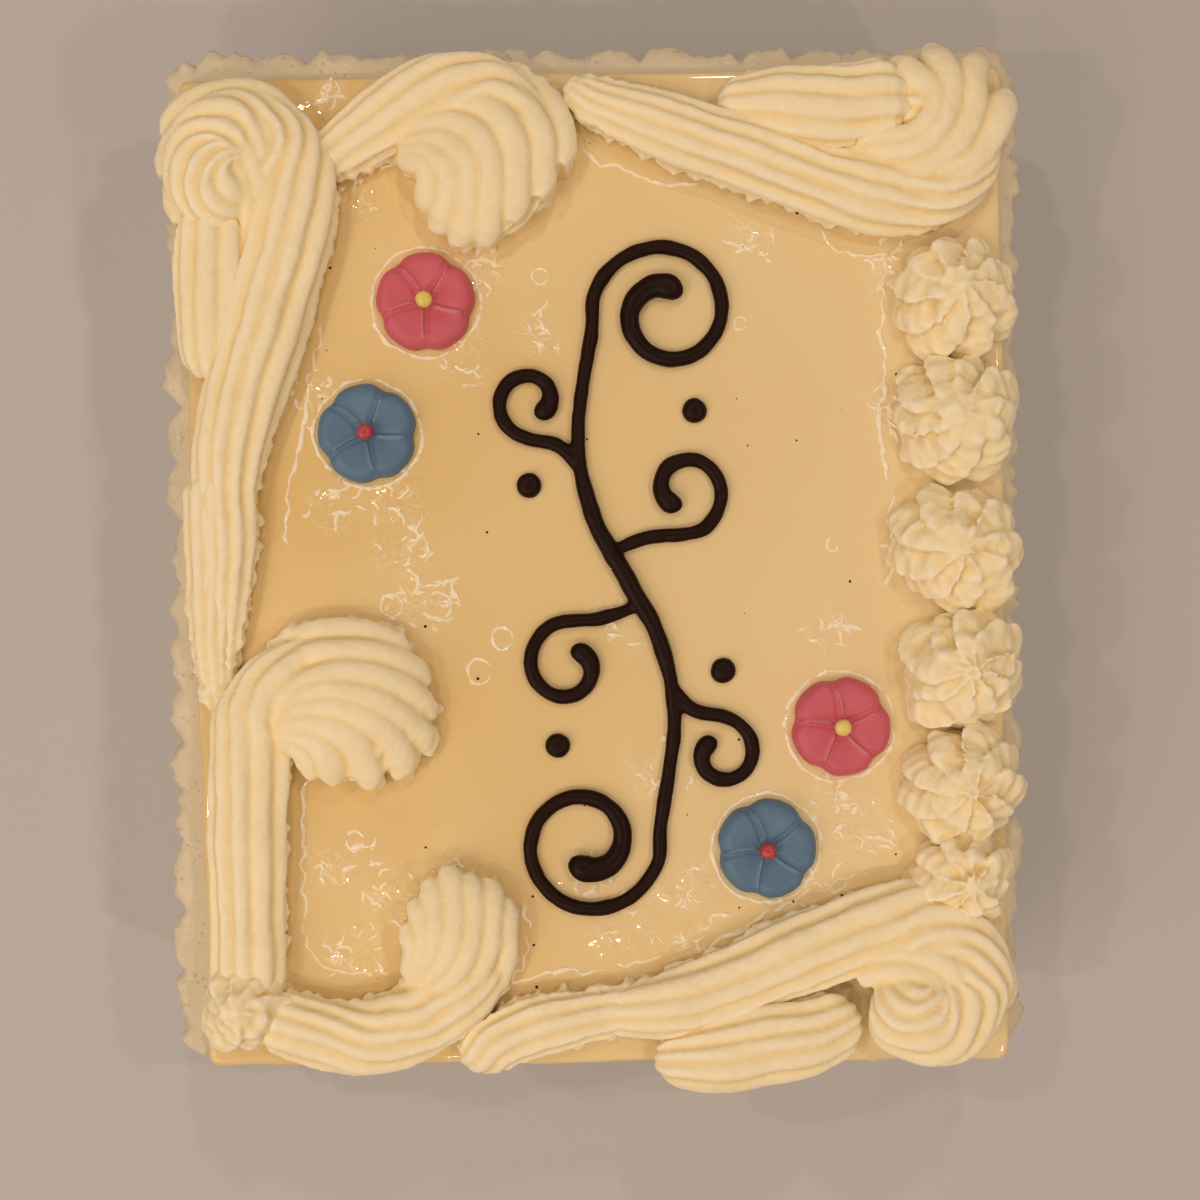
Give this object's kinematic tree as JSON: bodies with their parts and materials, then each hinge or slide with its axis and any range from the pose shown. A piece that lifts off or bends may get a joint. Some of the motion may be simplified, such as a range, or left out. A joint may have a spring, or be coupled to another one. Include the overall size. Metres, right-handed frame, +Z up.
{
  "type": "vanilla cake",
  "caption": "Rectangular cream-coated vanilla cake with a glossy gel top, piped whipped-cream borders, sugar flowers and a piped chocolate scroll.",
  "frame": {"origin": "middle of the cake's flat foot", "axes": "+Y along the cake's long side (up in the picture), +X along its short side (right in the picture), +Z up"},
  "size_m": [0.2164, 0.2605, 0.0757],
  "materials": {
    "cream_coat": null,
    "piped_cream": null,
    "vanilla_glaze": null,
    "pink_sugar_paste": null,
    "blue_sugar_paste": null,
    "yellow_pearl": null,
    "red_pearl": null,
    "chocolate": null
  },
  "bodies": {
    "root": {"cream_coated_cake": "cream_coat", "vanilla_glaze": "vanilla_glaze", "cream_corner_scroll": "piped_cream", "cream_short_bar": "piped_cream", "cream_rough_bar": "piped_cream", "cream_side_hook": "piped_cream", "cream_end_hook": "piped_cream", "cream_far_comma": "piped_cream", "cream_far_scroll": "piped_cream", "cream_far_bar": "piped_cream", "cream_near_scroll": "piped_cream", "cream_near_shell": "piped_cream", "cream_near_tail": "piped_cream", "cream_rosette_1": "piped_cream", "cream_rosette_2": "piped_cream", "cream_rosette_3": "piped_cream", "cream_rosette_4": "piped_cream", "cream_rosette_5": "piped_cream", "cream_rosette_6": "piped_cream", "cream_rosette_corner": "piped_cream", "pink_flower_1": "pink_sugar_paste", "blue_flower_2": "blue_sugar_paste", "pink_flower_3": "pink_sugar_paste", "blue_flower_4": "blue_sugar_paste", "pearl_1": "yellow_pearl", "pearl_2": "red_pearl", "pearl_3": "yellow_pearl", "pearl_4": "red_pearl", "chocolate_scroll": "chocolate", "chocolate_dot_1": "chocolate", "chocolate_dot_2": "chocolate", "chocolate_dot_3": "chocolate", "chocolate_dot_4": "chocolate"}
  },
  "joints": []
}
